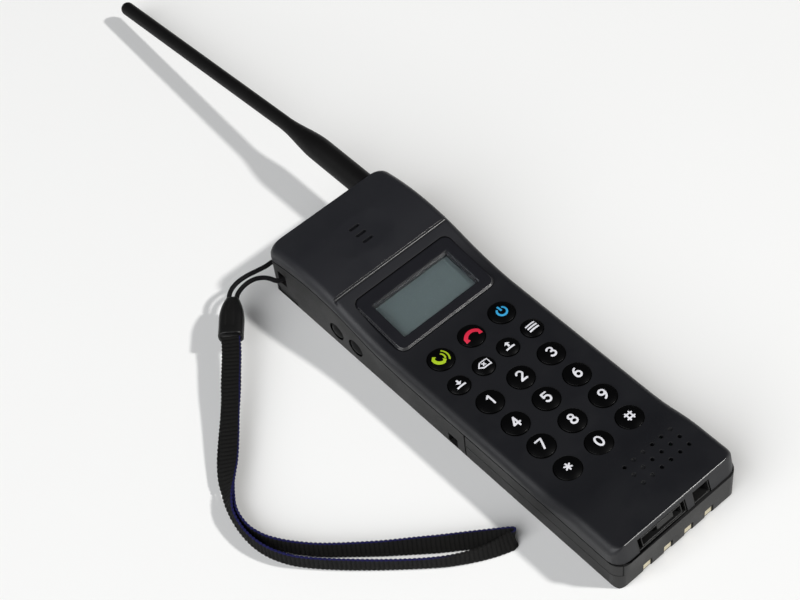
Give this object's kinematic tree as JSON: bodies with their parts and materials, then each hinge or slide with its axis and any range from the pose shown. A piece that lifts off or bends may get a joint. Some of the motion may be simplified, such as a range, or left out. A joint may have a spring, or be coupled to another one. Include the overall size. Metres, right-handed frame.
{
  "type": "brick cell phone",
  "caption": "Hand-held brick cell phone with round keys, a raised display, a whip antenna, a slide-off battery pack and a wrist strap.",
  "frame": {"origin": "on the flat back, under the middle of the body", "axes": "+Z from the back towards the keys, +Y towards the earpiece and the antenna"},
  "size_m": [0.1265, 0.3248, 0.0256],
  "materials": {
    "casing_front": "fine grained charcoal moulding",
    "casing_rear": "fine grained charcoal moulding, slightly lighter",
    "bezel_black": "polished black frame",
    "lens_clear": "clear pane",
    "display_grey": "grey-green display",
    "pale_plastic": "plain moulding",
    "speaker_metal": "dark grey can",
    "soft_rubber": "soft black rubber",
    "tin_plate": "bright sheet",
    "key_membrane": "translucent sheet",
    "circuit_board": "green lacquer",
    "key_black": "satin black",
    "socket_black": "satin black",
    "antenna_rubber": "deep black rubber",
    "bush_brass": "turned brass",
    "cell_wrap": "shrink sleeve",
    "contact_gold": "gold plated",
    "screw_steel": "bright zinc",
    "strap_cord": "braided black cord",
    "strap_cap": "black moulding",
    "strap_webbing": "ribbed black webbing with a navy edge"
  },
  "bodies": {
    "phone": {"front_shell": "casing_front", "rear_shell": "casing_rear", "display_bezel": "bezel_black", "display_lens": "lens_clear", "lcd_glass": "display_grey", "lcd_holder": "pale_plastic", "earpiece_speaker": "speaker_metal", "earpiece_gasket": "soft_rubber", "microphone": "tin_plate", "microphone_boot": "soft_rubber", "keypad_membrane": "key_membrane", "keypad_board": "circuit_board", "side_key_board": "circuit_board", "main_board": "circuit_board", "shield_can": "tin_plate", "board_connector": "pale_plastic", "ringer": "key_black", "accessory_connector": "socket_black", "power_jack": "socket_black", "antenna_bush": "bush_brass", "battery_terminals": "contact_gold", "case_screws": "screw_steel", "strap_cord": "strap_cord", "strap_cap": "strap_cap", "strap_webbing": "strap_webbing"},
    "battery": {"battery_case": "casing_rear", "battery_lid": "casing_rear", "battery_cells": "cell_wrap", "battery_pads": "contact_gold", "charge_contacts": "contact_gold"},
    "key_send_cap": {"key_send": "key_black"},
    "key_end_cap": {"key_end": "key_black"},
    "key_power_cap": {"key_power": "key_black"},
    "key_store_cap": {"key_store": "key_black"},
    "key_clear_cap": {"key_clear": "key_black"},
    "key_recall_cap": {"key_recall": "key_black"},
    "key_function_cap": {"key_function": "key_black"},
    "key_1_cap": {"key_1": "key_black"},
    "key_2_cap": {"key_2": "key_black"},
    "key_3_cap": {"key_3": "key_black"},
    "key_4_cap": {"key_4": "key_black"},
    "key_5_cap": {"key_5": "key_black"},
    "key_6_cap": {"key_6": "key_black"},
    "key_7_cap": {"key_7": "key_black"},
    "key_8_cap": {"key_8": "key_black"},
    "key_9_cap": {"key_9": "key_black"},
    "key_star_cap": {"key_star": "key_black"},
    "key_0_cap": {"key_0": "key_black"},
    "key_hash_cap": {"key_hash": "key_black"},
    "side_key_upper_cap": {"side_key_upper": "key_black"},
    "side_key_lower_cap": {"side_key_lower": "key_black"},
    "latch": {"battery_latch": "socket_black"},
    "whip": {"antenna": "antenna_rubber"}
  },
  "joints": [
    {"name": "key_send_press", "type": "slide", "parent": "phone", "child": "key_send_cap", "axis": [0, 0, -1], "range_m": [0, 0.0006], "stiffness_N_per_m": 600, "springref_m": -0.0006},
    {"name": "key_end_press", "type": "slide", "parent": "phone", "child": "key_end_cap", "axis": [0, 0, -1], "range_m": [0, 0.0006], "stiffness_N_per_m": 600, "springref_m": -0.0006},
    {"name": "key_power_press", "type": "slide", "parent": "phone", "child": "key_power_cap", "axis": [0, 0, -1], "range_m": [0, 0.0006], "stiffness_N_per_m": 600, "springref_m": -0.0006},
    {"name": "key_store_press", "type": "slide", "parent": "phone", "child": "key_store_cap", "axis": [0, 0, -1], "range_m": [0, 0.0006], "stiffness_N_per_m": 600, "springref_m": -0.0006},
    {"name": "key_clear_press", "type": "slide", "parent": "phone", "child": "key_clear_cap", "axis": [0, 0, -1], "range_m": [0, 0.0006], "stiffness_N_per_m": 600, "springref_m": -0.0006},
    {"name": "key_recall_press", "type": "slide", "parent": "phone", "child": "key_recall_cap", "axis": [0, 0, -1], "range_m": [0, 0.0006], "stiffness_N_per_m": 600, "springref_m": -0.0006},
    {"name": "key_function_press", "type": "slide", "parent": "phone", "child": "key_function_cap", "axis": [0, 0, -1], "range_m": [0, 0.0006], "stiffness_N_per_m": 600, "springref_m": -0.0006},
    {"name": "key_1_press", "type": "slide", "parent": "phone", "child": "key_1_cap", "axis": [0, 0, -1], "range_m": [0, 0.0006], "stiffness_N_per_m": 600, "springref_m": -0.0006},
    {"name": "key_2_press", "type": "slide", "parent": "phone", "child": "key_2_cap", "axis": [0, 0, -1], "range_m": [0, 0.0006], "stiffness_N_per_m": 600, "springref_m": -0.0006},
    {"name": "key_3_press", "type": "slide", "parent": "phone", "child": "key_3_cap", "axis": [0, 0, -1], "range_m": [0, 0.0006], "stiffness_N_per_m": 600, "springref_m": -0.0006},
    {"name": "key_4_press", "type": "slide", "parent": "phone", "child": "key_4_cap", "axis": [0, 0, -1], "range_m": [0, 0.0006], "stiffness_N_per_m": 600, "springref_m": -0.0006},
    {"name": "key_5_press", "type": "slide", "parent": "phone", "child": "key_5_cap", "axis": [0, 0, -1], "range_m": [0, 0.0006], "stiffness_N_per_m": 600, "springref_m": -0.0006},
    {"name": "key_6_press", "type": "slide", "parent": "phone", "child": "key_6_cap", "axis": [0, 0, -1], "range_m": [0, 0.0006], "stiffness_N_per_m": 600, "springref_m": -0.0006},
    {"name": "key_7_press", "type": "slide", "parent": "phone", "child": "key_7_cap", "axis": [0, 0, -1], "range_m": [0, 0.0006], "stiffness_N_per_m": 600, "springref_m": -0.0006},
    {"name": "key_8_press", "type": "slide", "parent": "phone", "child": "key_8_cap", "axis": [0, 0, -1], "range_m": [0, 0.0006], "stiffness_N_per_m": 600, "springref_m": -0.0006},
    {"name": "key_9_press", "type": "slide", "parent": "phone", "child": "key_9_cap", "axis": [0, 0, -1], "range_m": [0, 0.0006], "stiffness_N_per_m": 600, "springref_m": -0.0006},
    {"name": "key_star_press", "type": "slide", "parent": "phone", "child": "key_star_cap", "axis": [0, 0, -1], "range_m": [0, 0.0006], "stiffness_N_per_m": 600, "springref_m": -0.0006},
    {"name": "key_0_press", "type": "slide", "parent": "phone", "child": "key_0_cap", "axis": [0, 0, -1], "range_m": [0, 0.0006], "stiffness_N_per_m": 600, "springref_m": -0.0006},
    {"name": "key_hash_press", "type": "slide", "parent": "phone", "child": "key_hash_cap", "axis": [0, 0, -1], "range_m": [0, 0.0006], "stiffness_N_per_m": 600, "springref_m": -0.0006},
    {"name": "side_key_upper_press", "type": "slide", "parent": "phone", "child": "side_key_upper_cap", "axis": [1, 0, 0], "range_m": [0, 0.0005], "stiffness_N_per_m": 600, "springref_m": -0.0006},
    {"name": "side_key_lower_press", "type": "slide", "parent": "phone", "child": "side_key_lower_cap", "axis": [1, 0, 0], "range_m": [0, 0.0005], "stiffness_N_per_m": 600, "springref_m": -0.0006},
    {"name": "latch_press", "type": "slide", "parent": "phone", "child": "latch", "axis": [1, 0, 0], "range_m": [0, 0.0015], "stiffness_N_per_m": 400, "springref_m": -0.001},
    {"name": "antenna_turn", "type": "hinge", "parent": "phone", "child": "whip", "pos_m": [0.0184, 0.086, 0.0181], "axis": [0, 1, 0], "continuous": true},
    {"name": "battery_slide", "type": "slide", "parent": "phone", "child": "battery", "axis": [0, -1, 0], "range_m": [0, 0.074]}
  ]
}
